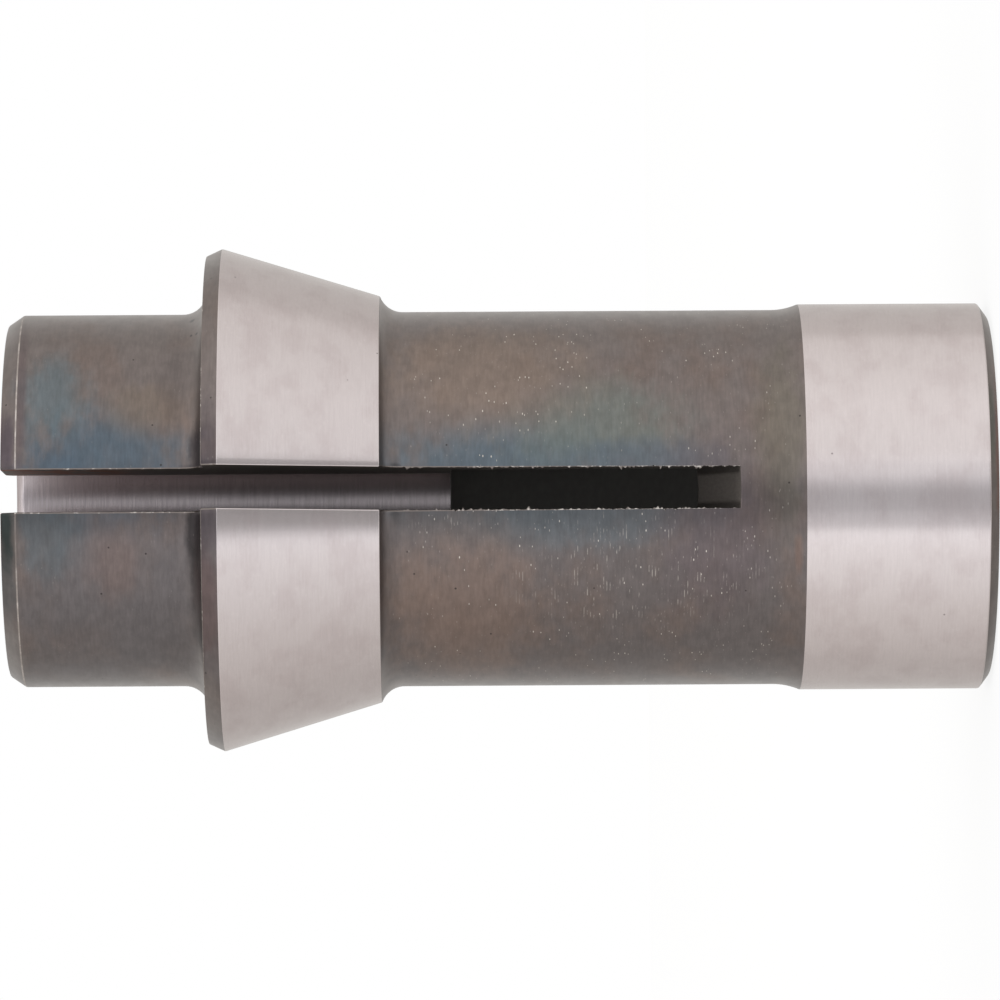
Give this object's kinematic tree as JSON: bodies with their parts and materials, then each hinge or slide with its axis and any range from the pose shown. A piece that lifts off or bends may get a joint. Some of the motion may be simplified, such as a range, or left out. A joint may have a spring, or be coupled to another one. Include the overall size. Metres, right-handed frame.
{
  "type": "collet",
  "caption": "Push-type spring collet with an extended nose: a steel tube sawn from the nose into sprung jaws, with a ground clamping cone behind the nose and a ground guide at the rear.",
  "frame": {"origin": "centre of the rear face, where the axis meets it", "axes": "+Z along the axis, from the rear face to the nose; one saw slot faces -Y"},
  "size_m": [0.0365, 0.0365, 0.0709],
  "materials": {
    "hardened_steel": "dark heat-treated skin with fine turning marks, ground bright on the cone and the rear guide"
  },
  "bodies": {
    "root": {"collet": "hardened_steel"}
  },
  "joints": []
}
